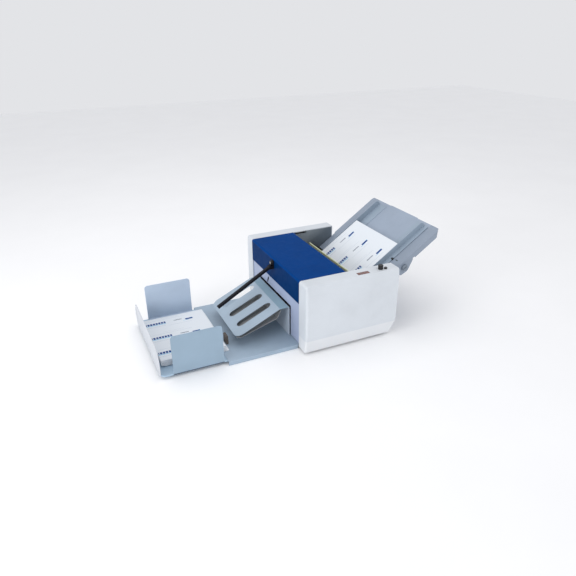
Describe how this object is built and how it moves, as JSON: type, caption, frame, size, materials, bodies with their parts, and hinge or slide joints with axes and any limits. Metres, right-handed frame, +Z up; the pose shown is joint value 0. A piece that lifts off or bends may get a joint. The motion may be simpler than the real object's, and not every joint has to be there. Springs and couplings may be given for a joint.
{
  "type": "franking machine",
  "caption": "Desktop franking machine: tilting infeed tray, rotary print unit under a hinged lid, exit ramp and sliding catch tray.",
  "frame": {"origin": "on the table surface, below the centre of the overall box", "axes": "+X from the catch tray towards the infeed tray, +Y to the far side, +Z up"},
  "size_m": [1.0024, 0.52, 0.3475],
  "materials": {
    "cover_white": "satin moulded plastic",
    "lid_blue": "semi-gloss enamel",
    "panel_lavender": "satin paint",
    "table_steel_blue": "satin paint",
    "guide_steel_blue": "satin paint",
    "tray_grey": "satin paint",
    "stop_pale": "satin paint",
    "steel": "brushed",
    "zinc_steel": "zinc plated",
    "dark_sheet": "matt dark paint",
    "aluminium": "machined",
    "black_plastic": "matt",
    "grey_plastic": "matt",
    "cream_plastic": "satin",
    "window_red": "tinted, glossy",
    "board_green": "solder-resist green",
    "rubber_black": "matt",
    "roller_rubber": "ground",
    "feed_rubber": "grippy",
    "ink_felt": "inked foam",
    "bronze": "sintered",
    "gear_nylon": "moulded nylon",
    "paper_white": "uncoated paper, printed forms"
  },
  "bodies": {
    "frame": {"base_plate": "zinc_steel", "near_frame_plate": "steel", "far_frame_plate": "steel", "tie_rods": "steel", "frame_screws": "steel", "shaft_bushes": "bronze", "hinge_pins": "steel", "near_side_cover": "cover_white", "far_side_cover": "cover_white", "rubber_feet": "rubber_black", "front_panel": "panel_lavender", "rear_panel": "tray_grey", "display_window": "window_red", "control_board": "board_green", "power_inlet": "black_plastic", "switch_housing": "black_plastic", "power_supply": "zinc_steel", "drive_motor": "zinc_steel", "exit_belt": "rubber_black", "feed_belt": "rubber_black", "feed_deck": "table_steel_blue", "feed_bridge": "cream_plastic", "separator_holder": "zinc_steel", "separator_pad": "feed_rubber", "outfeed_table": "table_steel_blue", "exit_ramp": "guide_steel_blue", "ramp_brace": "dark_sheet", "tray_arms": "zinc_steel"},
    "lid": {"top_cover": "lid_blue", "arm_bracket": "black_plastic"},
    "hold_down": {"hold_down_arm": "black_plastic"},
    "arm_screw": {"thumb_knob": "black_plastic"},
    "knob": {"speed_knob": "black_plastic"},
    "button": {"push_button": "black_plastic"},
    "rocker": {"power_rocker": "black_plastic"},
    "drum": {"drum_shaft": "steel", "print_drum": "aluminium", "die_plate": "rubber_black", "drum_gear": "gear_nylon"},
    "impression": {"impression_shaft": "steel", "impression_roller": "roller_rubber", "impression_gear": "gear_nylon"},
    "pinion": {"motor_pinion": "steel"},
    "inker": {"ink_roller": "ink_felt"},
    "exit_drive": {"exit_rollers": "roller_rubber", "exit_shaft": "steel"},
    "exit_idle": {"exit_idlers": "aluminium"},
    "feeder": {"feed_roller": "feed_rubber", "feed_shaft": "steel"},
    "catch": {"catch_tray": "guide_steel_blue", "end_stop": "stop_pale", "catch_stack": "paper_white"},
    "near_guide": {"near_side_guide": "guide_steel_blue"},
    "far_guide": {"far_side_guide": "guide_steel_blue"},
    "infeed": {"infeed_tray": "tray_grey", "infeed_stack": "paper_white"},
    "near_infeed_guide": {"near_feed_guide": "tray_grey"},
    "far_infeed_guide": {"far_feed_guide": "tray_grey"},
    "near_clamp": {"near_tray_knob": "grey_plastic"},
    "far_clamp": {"far_tray_knob": "grey_plastic"}
  },
  "joints": [
    {"name": "lid_hinge", "type": "hinge", "parent": "frame", "child": "lid", "pos_m": [0.13695, 0, 0.2425], "axis": [0, 1, 0], "range_deg": [0, 75]},
    {"name": "arm_hinge", "type": "hinge", "parent": "lid", "child": "hold_down", "pos_m": [-0.05205, 0.004, 0.2185], "axis": [0, 1, 0], "range_deg": [-8, 30]},
    {"name": "arm_screw_turn", "type": "hinge", "parent": "lid", "child": "arm_screw", "pos_m": [-0.04505, 0.004, 0.234], "axis": [1, 0, 0], "continuous": true},
    {"name": "speed_turn", "type": "hinge", "parent": "frame", "child": "knob", "pos_m": [0.24645, -0.235, 0.255], "axis": [0, 0, 1], "range_deg": [-270, 0]},
    {"name": "button_press", "type": "slide", "parent": "frame", "child": "button", "axis": [0, 0, -1], "range_m": [0, 0.002], "stiffness_N_per_m": 300, "springref_m": -0.0006},
    {"name": "rocker_tilt", "type": "hinge", "parent": "frame", "child": "rocker", "pos_m": [0.30095, 0.232, 0.132], "axis": [0, 1, 0], "range_deg": [-10, 10]},
    {"name": "drum_spin", "type": "hinge", "parent": "frame", "child": "drum", "pos_m": [0.04095, 0, 0.172], "axis": [0, 1, 0], "continuous": true},
    {"name": "impression_spin", "type": "hinge", "parent": "frame", "child": "impression", "pos_m": [0.04095, 0, 0.108], "axis": [0, 1, 0], "continuous": true},
    {"name": "pinion_spin", "type": "hinge", "parent": "frame", "child": "pinion", "pos_m": [-0.01232, 0, 0.1996], "axis": [0, 1, 0], "continuous": true},
    {"name": "inker_spin", "type": "hinge", "parent": "frame", "child": "inker", "pos_m": [0.071, 0, 0.22405], "axis": [0, 1, 0], "continuous": true},
    {"name": "exit_spin", "type": "hinge", "parent": "frame", "child": "exit_drive", "pos_m": [-0.01505, 0, 0.112], "axis": [0, 1, 0], "continuous": true},
    {"name": "exit_idler_spin", "type": "hinge", "parent": "frame", "child": "exit_idle", "pos_m": [-0.01505, 0, 0.1352], "axis": [0, 1, 0], "continuous": true},
    {"name": "feed_spin", "type": "hinge", "parent": "frame", "child": "feeder", "pos_m": [0.23756, 0, 0.13681], "axis": [0, 1, 0], "continuous": true},
    {"name": "catch_slide", "type": "slide", "parent": "frame", "child": "catch", "axis": [-1, 0, 0], "range_m": [0, 0.08]},
    {"name": "near_guide_slide", "type": "slide", "parent": "catch", "child": "near_guide", "axis": [0, 1, 0], "range_m": [0, 0.03]},
    {"name": "far_guide_slide", "type": "slide", "parent": "catch", "child": "far_guide", "axis": [0, -1, 0], "range_m": [0, 0.03]},
    {"name": "infeed_tilt", "type": "hinge", "parent": "frame", "child": "infeed", "pos_m": [0.36277, 0, 0.22298], "axis": [0, 1, 0], "range_deg": [0, 5]},
    {"name": "near_infeed_guide_slide", "type": "slide", "parent": "infeed", "child": "near_infeed_guide", "axis": [0, -1, 0], "range_m": [0, 0.038]},
    {"name": "far_infeed_guide_slide", "type": "slide", "parent": "infeed", "child": "far_infeed_guide", "axis": [0, 1, 0], "range_m": [0, 0.038]},
    {"name": "near_clamp_turn", "type": "hinge", "parent": "frame", "child": "near_clamp", "pos_m": [0.36277, -0.212, 0.22298], "axis": [0, 1, 0], "range_deg": [-180, 180]},
    {"name": "far_clamp_turn", "type": "hinge", "parent": "frame", "child": "far_clamp", "pos_m": [0.36277, 0.212, 0.22298], "axis": [0, 1, 0], "range_deg": [-180, 180]}
  ],
  "couplings": [
    {"joint": "impression_spin", "follows": "drum_spin", "ratio": -2.5556},
    {"joint": "pinion_spin", "follows": "drum_spin", "ratio": -3.2857},
    {"joint": "inker_spin", "follows": "drum_spin", "ratio": -3.2714},
    {"joint": "exit_spin", "follows": "drum_spin", "ratio": -3.3009},
    {"joint": "exit_idler_spin", "follows": "drum_spin", "ratio": 5.0614},
    {"joint": "feed_spin", "follows": "drum_spin", "ratio": -2.0688}
  ]
}
